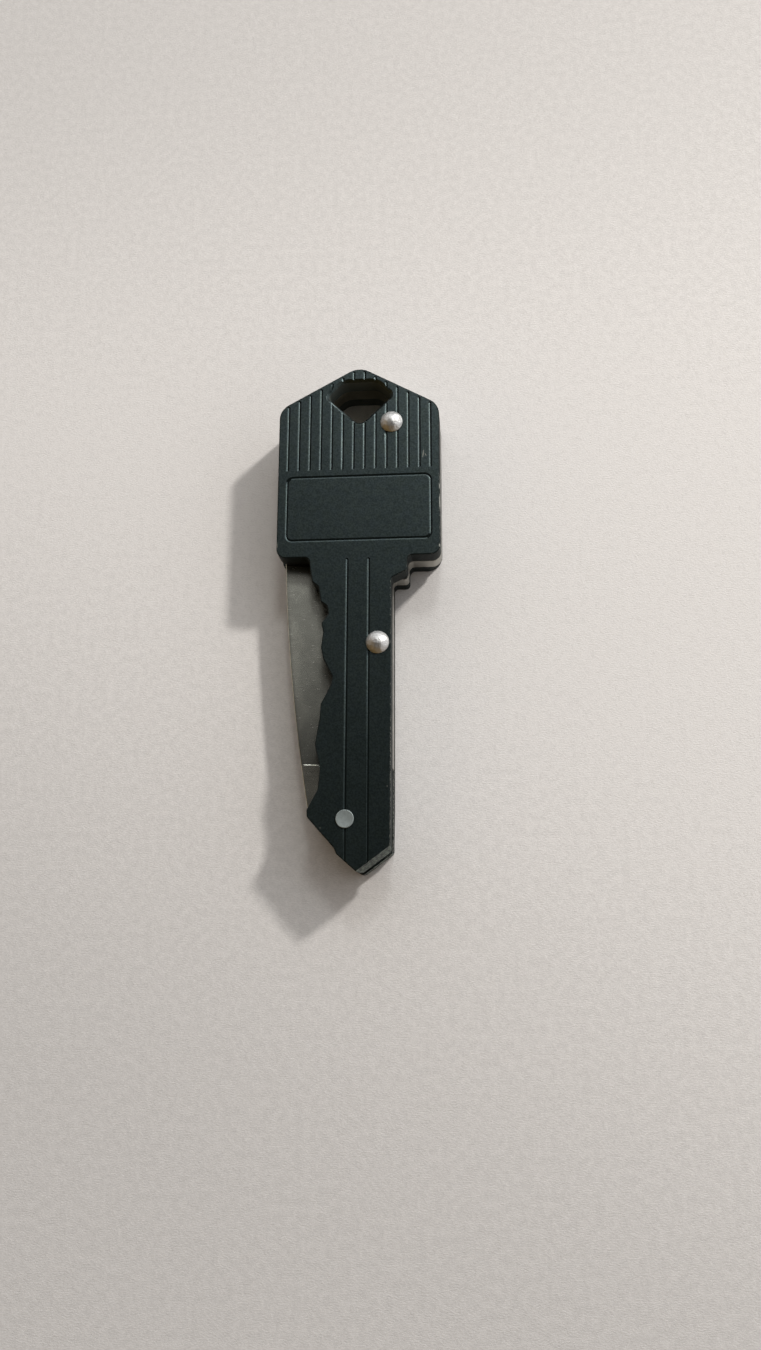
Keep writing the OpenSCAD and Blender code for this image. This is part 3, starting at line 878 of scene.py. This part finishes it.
def makePin():  # its head is flat, with a rounded rim and a slight dish
    low, high = nodeBox("pivot_pin")
    shank, flare, head, dish = pin["shank"], pin["flare"], pin["head"], pin["dish"]
    base, top, r = frontHigh.z, high.z, pin["round"]
    profile = [(0, low.z), (shank + flare, low.z), (shank, low.z + flare),
               (shank, base), (head, base)]
    for a in (0, 0.5, 1.0, math.pi / 2):
        profile.append((head - r * (1 - math.cos(a)), top - r + r * math.sin(a)))
    profile += [(head * 0.7, top - dish * 0.5), (head * 0.35, top - dish), (0, top - dish)]
    piece = lathe("pivotPin", profile, pivotAt, pin["steps"])
    finishPiece(piece, "handle", "pin_steel", pinSteel, "pivot_pin", smooth=30)


makePin()
for name in ("pivot_washer_front", "pivot_washer_back"):
    nodes[name].data.materials.clear()
    nodes[name].data.materials.append(brass)

print("setting the camera, the floor and the light")
view = {"place": (17.008, -47.018, 159.267), "turn": (13.6685, 5.1182, 0.1631), "lens": 29.867}


def makeCamera():
    bpy.ops.object.camera_add(
        location=[v * mm for v in view["place"]], rotation=[math.radians(a) for a in view["turn"]])
    camera = bpy.context.object
    camera.data.lens = view["lens"]
    camera.data.sensor_width = 36
    camera.data.clip_start = 0.005
    camera.data.clip_end = 20
    bpy.context.scene.camera = camera


makeCamera()

floorSheet = {
    "size": 3.0, "color": (0.665, 0.64, 0.62), "lean": 0.5,
    "low": 0.80, "lowFrom": -95, "lowTo": 15, "top": 0.80, "topFrom": 20, "topTo": 120,
    "speck": 1.1, "speckTone": 0.045, "fibre": 0.4, "fibreTone": 0.06, "fibreStretch": (1, 2.2, 1),
    "depth": 0.05,
}


def makeFloor():  # pale textured paper, with painted shade making it a little darker towards its low and top ends
    sheet = floorSheet
    bpy.ops.mesh.primitive_plane_add(size=sheet["size"], location=(0, 0, 0))
    floor = bpy.context.object
    floor.name = "floor"
    paint, tree, shader = newPaint("palePaper", sheet["color"], 0.0, 0.9)
    place = objectPlace(tree)
    across, up = along(tree, place, "X"), along(tree, place, "Y")
    leaning = maths(tree, "ADD", maths(tree, "MULTIPLY", across, sheet["lean"]), up)
    low = ramp(tree, leaning, sheet["lowFrom"] * mm, sheet["lowTo"] * mm, sheet["low"], 1.0)
    top = ramp(tree, up, sheet["topFrom"] * mm, sheet["topTo"] * mm, 1.0, sheet["top"])
    specks = noiseAt(tree, place, sheet["speck"], 3, 0.6)
    fibres = noiseAt(tree, objectPlace(tree, sheet["fibreStretch"]), sheet["fibre"], 3, 0.7)
    mottle = maths(
        tree, "ADD", ramp(tree, specks, 0.3, 0.7, -sheet["speckTone"], sheet["speckTone"]),
        ramp(tree, fibres, 0.3, 0.7, -sheet["fibreTone"], sheet["fibreTone"]))
    level = maths(tree, "MULTIPLY", low, top)
    level = maths(tree, "MULTIPLY", level, maths(tree, "ADD", mottle, 1.0))
    color = mixColors(tree, level, (0.0, 0.0, 0.0), sheet["color"])
    tree.links.new(color, shader.inputs["Base Color"])
    tree.links.new(bumpFrom(tree, fibres, sheet["depth"]), shader.inputs["Normal"])
    floor.data.materials.append(paint)


makeFloor()

mainLamp = {
    "azimuth": 45, "height": 33, "away": 0.7, "size": 0.06,
    "power": 3.78, "color": (1.0, 0.97, 0.93),
}
sideLamp = {
    "azimuth": 80, "height": 47, "away": 0.7, "size": 0.12,
    "power": 0.72, "color": (0.96, 1.0, 0.99),
}
room = {
    "dark": 0.03, "darkAt": (0.0, -0.22, 0.98), "darkWithin": 25, "darkUntil": 62,
    "from": (0.6, 0.8, 0.0), "near": (1.54, 1.57, 1.63), "far": (0.36, 0.23, 0.08),
    "turnOver": 0.8,
}


def makeLamp(lamp):
    a, e = math.radians(lamp["azimuth"]), math.radians(lamp["height"])
    towards = Vector((math.cos(e) * math.cos(a), math.cos(e) * math.sin(a), math.sin(e)))
    bpy.ops.object.light_add(type="AREA", location=towards * lamp["away"])
    light = bpy.context.object
    light.rotation_euler = towards.to_track_quat("Z", "Y").to_euler()
    light.data.shape = "DISK"
    light.data.size = lamp["size"]
    light.visible_camera = False
    light.data.energy = lamp["power"]
    light.data.color = lamp["color"]


def makeRoom():  # walls that are pale on the lamps' side and warm on the other, and a dark ceiling
    world = bpy.data.worlds.new("room")
    world.use_nodes = True
    bpy.context.scene.world = world
    tree = world.node_tree
    place = addNode(tree, "ShaderNodeTexCoord")
    dots = []
    for direction in (room["darkAt"], room["from"]):
        dot = addNode(tree, "ShaderNodeVectorMath", operation="DOT_PRODUCT")
        tree.links.new(place.outputs["Generated"], dot.inputs[0])
        dot.inputs[1].default_value = Vector(direction).normalized()
        dots.append(dot.outputs["Value"])
    near, far = (math.cos(math.radians(room[key])) for key in ("darkWithin", "darkUntil"))
    ceiling = ramp(tree, dots[0], far, near, 1.0, room["dark"])
    lit = ramp(tree, dots[1], -room["turnOver"], room["turnOver"])
    walls = mixColors(tree, lit, room["far"], room["near"])
    color = mixColors(tree, ceiling, (0.0, 0.0, 0.0), walls)
    tree.links.new(color, tree.nodes["Background"].inputs["Color"])


makeLamp(mainLamp)
makeLamp(sideLamp)
makeRoom()
bpy.context.scene.view_settings.view_transform = "Standard"
